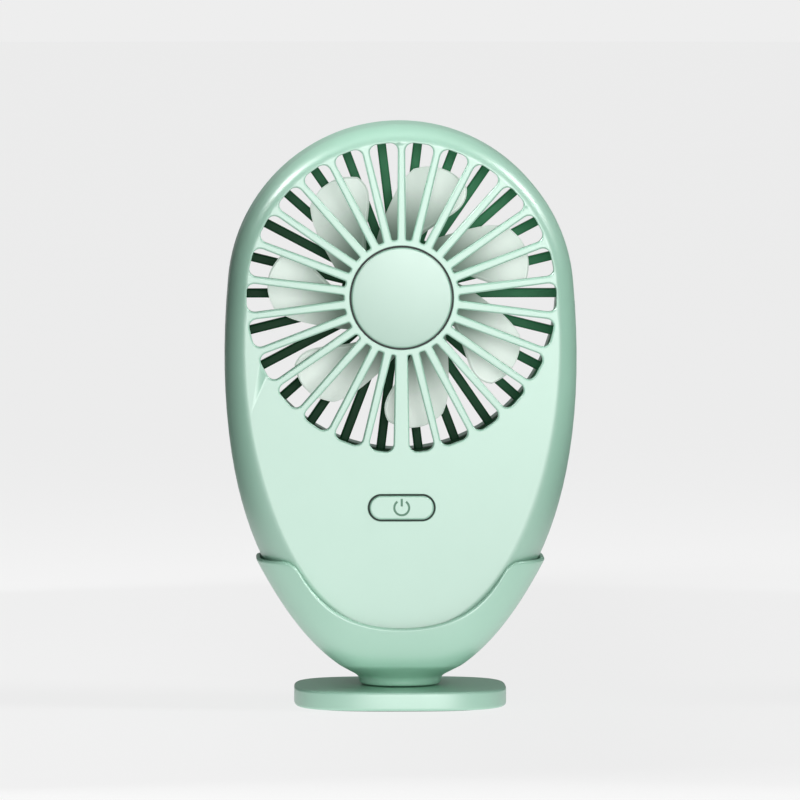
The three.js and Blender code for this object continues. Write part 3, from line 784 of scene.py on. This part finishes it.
def buildButton():
    front = faceY + button["front"]
    pad = flatStadium(button["width"], button["height"], front, 1, button["z"], 64)
    startEdit(pad)
    bpy.ops.mesh.select_all(action="SELECT")
    extrudeBy(y=button["back"])
    endEdit()
    faceOut(pad)
    roundEdges(pad, button["edge"], 4)
    cutAway(pad, signSolid(front - 1, front + sign["depth"]))
    finishPiece(pad, "powerButton", "button", finishes["mint_plastic"], ["power_button"])
    paint = signSolid(front + sign["fill"], front + sign["depth"] + 0.05)
    finishPiece(paint, "powerSign", "button", signPaint)
    # painted shade: a grey ring fills the groove round the button a little way down, standing in for the groove's
    # shadow
    seat = faceY + button["shadeDepth"]
    spread = 2 * (button["groove"] + button["shadeGrip"])
    grooveShade = flatStadium(button["width"] + spread, button["height"] + spread, seat, 1, button["z"], 64)
    startEdit(grooveShade)
    bpy.ops.mesh.select_all(action="SELECT")
    bpy.ops.mesh.inset(thickness=button["groove"] + button["shadeInner"])
    pick(grooveShade, "FACE", lambda f: len(f.verts) > 4)
    bpy.ops.mesh.delete(type="FACE")
    bpy.ops.mesh.select_all(action="SELECT")
    extrudeBy(y=button["shadeThick"])
    endEdit()
    faceOut(grooveShade)
    finishPiece(grooveShade, "buttonGrooveShade", "fan_body", finishes["grey_rubber"])


# The back half of the body, with its round intake, its screw wells and its charging port

intake = {"radius": 35.4, "flare": 0.5, "collar": 36.2, "collarWall": 1.0, "collarFront": 7.1,
          "collarBack": 15.6, "depth": 6}
port = {"width": 9, "height": 3.2, "z": 27.5, "front": 8.8, "back": 16.3, "room": 0.4, "wall": 0.3,
        "flare": 0.2, "floor": 1.6, "tongue": (6.6, 4.4, 0.7), "tongueIn": 3.6, "contact": (0.3, 2.6, 0.08),
        "contactIn": 3, "contacts": 8, "pitch": 0.72, "contactUp": 0.36}
screw = {"places": [(-28.5, 56), (28.5, 56), (-11, 19.6), (11, 19.6)], "well": 2.4, "wellFoot": 6,
         "wellLength": 9, "wellWall": 1, "flare": 0.3, "head": 2, "top": 8.9, "thick": 1.3, "shank": 0.9,
         "length": 13.5, "slot": 0.45, "slotLength": 2.4, "slotDepth": 0.7}


def buildRearShell():
    shell = halfShell(1)
    outside, depth = backY + 1, intake["depth"]
    mouth = flatDisc(intake["radius"] + intake["flare"], outside, -1, 0, hub.z, 160)
    cutters = [drill(mouth, -1, intake["flare"], depth, steps=6)]
    spread = 2 * (port["room"] + port["flare"])
    mouth = flatStadium(port["width"] + spread, port["height"] + spread, outside, -1, port["z"])
    cutters.append(drill(mouth, -1, port["flare"], depth))
    for x, z in screw["places"]:
        mouth = flatDisc(screw["well"] + screw["flare"], outside, -1, x, z, 40)
        cutters.append(drill(mouth, -1, screw["flare"], depth))
    cutAway(shell, joinPieces(cutters))
    parts = [shell, tubeRing(intake["collar"], intake["collarWall"], intake["collarFront"],
                             intake["collarBack"], 0.2)]
    for x, z in screw["places"]:
        bpy.ops.mesh.primitive_cylinder_add(
            vertices=40, radius=screw["well"] + screw["wellWall"], depth=screw["wellLength"],
            end_fill_type="NOTHING", location=(x, screw["wellFoot"] + screw["wellLength"] / 2, z),
            rotation=(quarterTurn, 0, 0))
        well = setPlace()
        useModifier(well, "SOLIDIFY", thickness=screw["wellWall"], offset=-1)
        startEdit(well)
        bpy.ops.mesh.select_all(action="SELECT")
        bpy.ops.mesh.bisect(plane_co=(0, backY - 1.2, 0), plane_no=(0, 1, 0), clear_outer=True,
                            use_fill=True)
        endEdit()
        parts.append(well)
    finishPiece(joinPieces(parts), "rearShell", "fan_body", finishes["mint_plastic"],
                ["rear_shell"])


def buildScrews():
    under = screw["top"] - screw["thick"]
    for number, (x, z) in enumerate(screw["places"], 1):
        head = cupDisc(screw["head"], under, screw["top"], x, z, 40)
        roundEdges(head, 0.35, 3)
        long, deep, narrow = screw["slotLength"], 2 * screw["slotDepth"], screw["slot"]
        for size in ((long, deep, narrow), (narrow, deep, long)):
            bpy.ops.mesh.primitive_cube_add(size=1, scale=size, location=(x, screw["top"], z))
            cutAway(head, setPlace())
        shank = cupDisc(screw["shank"], under - screw["length"], under + 0.05, x, z, 24)
        roundEdges(shank, 0.3, 2)
        finishPiece(joinPieces([head, shank]), f"caseScrew{number}", "fan_body",
                    finishes["steel"], [f"case_screw_{number}"])


def buildPort():
    back = port["back"]
    shell = flatStadium(port["width"], port["height"], back, -1, port["z"])
    startEdit(shell)
    bpy.ops.mesh.select_all(action="SELECT")
    extrudeBy(y=port["front"] - back)
    pick(shell, "FACE", lambda f: len(f.verts) > 4 and middle(f).y > back - 0.1)
    bpy.ops.mesh.inset(thickness=port["wall"])
    extrudeBy(y=port["front"] + port["floor"] - back)
    endEdit()
    faceOut(shell)
    finishPiece(shell, "chargingPort", "fan_body", finishes["steel"], ["usb_port"])
    bpy.ops.mesh.primitive_cube_add(size=1, scale=port["tongue"],
                                    location=(0, back - port["tongueIn"], port["z"]))
    tongue = setPlace()
    roundEdges(tongue, 0.12, 2)
    finishPiece(tongue, "portTongue", "fan_body", finishes["black_plastic"])
    contacts = []
    for side in (-1, 1):
        for i in range(port["contacts"]):
            bpy.ops.mesh.primitive_cube_add(size=1, scale=port["contact"], location=(
                (i - (port["contacts"] - 1) / 2) * port["pitch"], back - port["contactIn"],
                port["z"] + side * port["contactUp"]))
            contacts.append(setPlace())
    finishPiece(joinPieces(contacts), "portContacts", "fan_body", finishes["copper"])


# The guard behind the blades, dark green with painted shade

guard = {"outer": 36.1, "rim": 0.9, "front": 3.5, "back": 6.8, "disc": 13, "discBack": 5.8, "bar": 2,
         "barFront": 3.6, "barBack": 6.6, "edge": 0.45}


def buildGuard():
    rim = tubeRing(guard["outer"], guard["rim"], guard["front"], guard["back"], 0.3)
    length = guard["outer"] - guard["disc"] + 0.6
    size = (guard["bar"], guard["barBack"] - guard["barFront"], length)
    bpy.ops.mesh.primitive_cube_add(size=1, scale=size, location=(
        0, (guard["barBack"] + guard["barFront"]) / 2, hub.z + guard["outer"] - 0.6 - length / 2))
    bar = setPlace()
    roundEdges(bar, guard["edge"], 3)
    startEdit(bar)
    bpy.ops.mesh.select_all(action="SELECT")
    turnPicked(slotPitch / 2)
    bpy.ops.mesh.spin(steps=grille["ribs"] - 1, dupli=True, angle=(grille["ribs"] - 1) * slotPitch,
                      center=hub, axis=(0, 1, 0))
    endEdit()
    disc = cupDisc(guard["disc"], guard["front"], guard["discBack"])
    startEdit(disc)
    pick(disc, "FACE", lambda f: len(f.verts) > 4 and middle(f).y > guard["discBack"] - 0.1)
    bpy.ops.mesh.inset(thickness=1.6)
    bpy.ops.mesh.inset(thickness=0.3, depth=-0.6)
    bpy.ops.mesh.inset(thickness=6)
    bpy.ops.mesh.inset(thickness=0.3, depth=0.5)
    endEdit()
    roundEdges(disc, 0.25, 2, 60)
    finishPiece(joinPieces([rim, bar, disc]), "rearGuard", "fan_body",
                finishes["dark_green_plastic"], ["rear_grille"])


# The wheel: a cup with seven petals that sweep clockwise as they widen

wheel = {"petals": 7, "root": 11.4, "tip": 29.8, "thick": 1.1, "across": 18, "along": 20, "hub": 12.2,
         "hubFront": -11.6, "hubBack": 0.4, "wall": 1.1, "tipRound": 1.6, "middle": -5.4}


def petalPoint(share, along):
    # share runs from the counter-clockwise edge, 0, to the clockwise edge, 1
    lean = abs(2 * share - 1)
    tip = wheel["tip"] - wheel["tipRound"] * lean ** 2.5
    radius = wheel["root"] + (tip - wheel["root"]) * (1 - (1 - along) ** 1.25)
    inner = max(0, (29.4 - radius) / 14.4)
    outer = max(0, (radius - 20) / 11)
    centre = 18.8 - 17.8 * inner ** 2.1
    half = 18 * (1 - 0.68 * outer ** 2.6)
    rise = 9 - 3 * (radius - wheel["root"]) / (wheel["tip"] - wheel["root"])
    angle = math.radians(centre + (2 * share - 1) * half)
    y = wheel["middle"] + (0.5 - share) * rise
    return Vector((radius * math.sin(angle), y, hub.z + radius * math.cos(angle)))


def gridPiece(name, columns, rows, place, wrap=False):
    # a sheet of quads whose points come from place(column, row)
    mesh = bpy.data.meshes.new(name)
    points = [place(column, row) for row in range(rows) for column in range(columns)]
    quads = []
    for row in range(rows - 1):
        for column in range(columns if wrap else columns - 1):
            after = (column + 1) % columns
            quads.append((row * columns + column, row * columns + after,
                          (row + 1) * columns + after, (row + 1) * columns + column))
    mesh.from_pydata(points, [], quads)
    piece = bpy.data.objects.new(name, mesh)
    bpy.context.scene.collection.objects.link(piece)
    return piece


def buildWheel():
    columns, rows = wheel["across"] + 1, wheel["along"] + 1
    petal = gridPiece("petal", columns, rows,
                      lambda c, r: petalPoint(c / wheel["across"], r / wheel["along"]))
    useModifier(petal, "SOLIDIFY", thickness=wheel["thick"], offset=0)
    faceOut(petal)
    roundEdges(petal, 0.42, 3, 60)
    startEdit(petal)
    bpy.ops.mesh.select_all(action="SELECT")
    more = wheel["petals"] - 1
    bpy.ops.mesh.spin(steps=more, dupli=True, angle=more * 2 * math.pi / wheel["petals"], center=hub,
                      axis=(0, 1, 0))
    endEdit()
    cup = cupDisc(wheel["hub"], wheel["hubFront"], wheel["hubBack"])
    startEdit(cup)
    pick(cup, "FACE", lambda f: len(f.verts) > 4 and middle(f).y < wheel["hubFront"] + 0.1)
    bpy.ops.mesh.inset(thickness=wheel["wall"])
    extrudeBy(y=wheel["hubBack"] - wheel["hubFront"] - 1)
    endEdit()
    roundEdges(cup, 0.4, 3)
    finishPiece(joinPieces([petal, cup]), "bladeWheel", "rotor",
                finishes["white_plastic"], ["impeller"])


# The cradle: a bowl on a short neck, its front and back cut down in a wide U

cradle = {
    "width": [(32.5, 33.4), (27.6, 24.2), (17, 4.9), (0, 4.9)],
    "depth": [(19.6, 33.4), (20.2, 11), (16.8, 4.9), (0, 4.9)],
    "rim": [(0, 18.5), (12.5, 18.5), (18.6, 24.2), (22.3, 30.2)], "hornBend": (23.8, 33.4),
    "hornStart": 26.7, "top": 33.4,
    # height, half width, half depth and squareness of each ring
    "neck": [(9.1, 13.35, 14.5, 3.5), (8.7, 12.8, 13.6, 3.1), (8.3, 12.2, 12.7, 2.8),
             (7.9, 11.6, 11.9, 2.5), (7.5, 10.9, 11.1, 2.3), (7.1, 10.25, 10.4, 2.1),
             (6.75, 9.75, 9.85, 2), (6.4, 9.42, 9.46, 2), (5.9, 9.2, 9.2, 2), (4.76, 9.12, 9.12, 2)],
    "square": 4, "neckTop": 9.5, "columns": 144, "rows": 26, "crowding": 0.85, "edge": 0.7,
    "room": 0.5, "ridge": 28,
}


def curveAt(knots, share):
    rest = 1 - share
    mix = (rest ** 3, 3 * rest ** 2 * share, 3 * rest * share ** 2, share ** 3)
    return Vector((sum(m * k[0] for m, k in zip(mix, knots)), sum(m * k[1] for m, k in zip(mix, knots))))


def solve(test, low, high):
    # the place between low and high where test stops holding
    for _ in range(40):
        half = (low + high) / 2
        low, high = (half, high) if test(half) else (low, half)
    return (low + high) / 2


def reachAt(knots, z):
    return curveAt(knots, solve(lambda share: curveAt(knots, share).y > z, 0, 1)).x


def rimHeight(x):
    x = abs(x)
    start, end = cradle["rim"][3], (cradle["hornStart"], cradle["top"])
    if x >= end[0]:
        return end[1]
    if x <= start[0]:
        share = solve(lambda s: curveAt(cradle["rim"], s).x < x, 0, 1)
        return curveAt(cradle["rim"], share).y
    corner = cradle["hornBend"]
    handles = [tuple(knot[i] + (corner[i] - knot[i]) * 2 / 3 for i in (0, 1)) for knot in (start, end)]
    bend = [start, *handles, end]
    share = solve(lambda s: curveAt(bend, s).x < x, 0, 1)
    return curveAt(bend, share).y


def bowlPoint(turn, z):
    # a level section is a soft-cornered oval
    if z >= cradle["neckTop"]:
        wide, deep, square = reachAt(cradle["width"], z), reachAt(cradle["depth"], z), cradle["square"]
    else:
        wide, deep, square = [ring[1:] for ring in cradle["neck"] if abs(ring[0] - z) < 1e-6][0]
    across, along = abs(math.cos(turn)) / wide, abs(math.sin(turn)) / deep
    reach = (across ** square + along ** square) ** (-1 / square)
    return Vector((reach * math.cos(turn), reach * math.sin(turn), z))


def bowlColumn(turn):
    rim = solve(lambda z: rimHeight(bowlPoint(turn, z).x) > z, 15, cradle["top"] + 1e-6)
    low, rows = cradle["neckTop"], cradle["rows"]
    heights = [rim + (low - rim) * (i / rows) ** cradle["crowding"] for i in range(rows + 1)]
    column = [bowlPoint(turn, max(z, low)) for z in heights]
    ridge = max(-cradle["ridge"], min(cradle["ridge"], column[0].x))
    neck = [bowlPoint(turn, ring[0]) for ring in cradle["neck"]]
    return [Vector((ridge, 0, column[0].z)), *column, *neck]


def buildCradle():
    columns = [bowlColumn(2 * math.pi * i / cradle["columns"]) for i in range(cradle["columns"])]
    bowl = gridPiece("bowl", len(columns), len(columns[0]), lambda c, r: columns[c][r], wrap=True)
    startEdit(bowl)
    pick(bowl, "VERT", lambda v: v.co.z < cradle["neck"][-1][0] + 0.001)
    bpy.ops.mesh.edge_face_add()
    pick(bowl, "EDGE", lambda e: e.is_boundary)
    bpy.ops.mesh.remove_doubles(threshold=0.01)
    endEdit()
    faceOut(bowl)
    return bowl


def finishCradle():
    bowl = buildCradle()
    roundEdges(bowl, cradle["edge"], 4, 40, clamp=False)
    cutAway(bowl, hollowOf(-cradle["room"]))
    finishPiece(bowl, "dockCradle", "dock", dockMintPaintedLight, ["cradle"])


# The foot: a plate with soft corners, and a rubber pad set into its underside

plate = {"wide": 23.75, "deep": 21, "low": 0.3, "high": 4.46, "edge": 0.6, "pocket": 2.6,
         "pocketTop": 1.6, "square": 3.2}
pads = {"foot": 20.65, "footTop": 1.0, "seat": 6.2, "seatLow": 9.3, "seatHigh": 10.4}


def levelDisc(radius, low, high, sides=160):
    bpy.ops.mesh.primitive_cylinder_add(vertices=sides, radius=radius, depth=high - low,
                                        location=(0, 0, (low + high) / 2))
    return setPlace()


def squareUp(disc):
    # flattens a round disc's front, back and ends a little, and makes it wider than it is deep
    power = plate["square"]
    for vertex in disc.data.vertices:
        x, y = vertex.co.x, vertex.co.y
        around = (abs(x) ** power + abs(y) ** power) ** (1 / power)
        stretch = math.hypot(x, y) / around if around else 1
        vertex.co.x = x * stretch
        vertex.co.y = y * stretch * plate["deep"] / plate["wide"]


def buildPlate():
    disc = levelDisc(plate["wide"], plate["low"], plate["high"])
    startEdit(disc)
    pick(disc, "FACE", lambda f: len(f.verts) > 4 and middle(f).z < plate["low"] + 0.01)
    bpy.ops.mesh.inset(thickness=plate["pocket"])
    extrudeBy(z=plate["pocketTop"])
    endEdit()
    squareUp(disc)
    roundEdges(disc, plate["edge"], 5)
    finishPiece(disc, "basePlate", "dock", dockMintPaintedLight, ["base_plate"])
    foot = levelDisc(pads["foot"], 0, pads["footTop"])
    startEdit(foot)
    pick(foot, "FACE", lambda f: len(f.verts) > 4 and middle(f).z < 0.01)
    bpy.ops.mesh.inset(thickness=1.5)
    bpy.ops.mesh.inset(thickness=0.25, depth=-0.3)
    bpy.ops.mesh.inset(thickness=0.8)
    bpy.ops.mesh.inset(thickness=0.25, depth=0.3)
    endEdit()
    squareUp(foot)
    roundEdges(foot, 0.12, 2)
    finishPiece(foot, "footPad", "dock", finishes["grey_rubber"], ["foot_pad"])
    seat = levelDisc(pads["seat"], pads["seatLow"], pads["seatHigh"], sides=64)
    startEdit(seat)
    pick(seat, "FACE", lambda f: len(f.verts) > 4 and middle(f).z > pads["seatHigh"] - 0.01)
    bpy.ops.mesh.inset(thickness=1.4)
    bpy.ops.mesh.inset(thickness=0.25, depth=-0.25)
    endEdit()
    roundEdges(seat, 0.12, 2)
    finishPiece(seat, "seatPad", "dock", finishes["grey_rubber"], ["seat_pad"])


buildFrontShell()
buildAirDuct()
buildHubCap()
buildButton()
buildRearShell()
buildScrews()
buildPort()
buildGuard()
buildWheel()
finishCradle()
buildPlate()
print("pieces made")
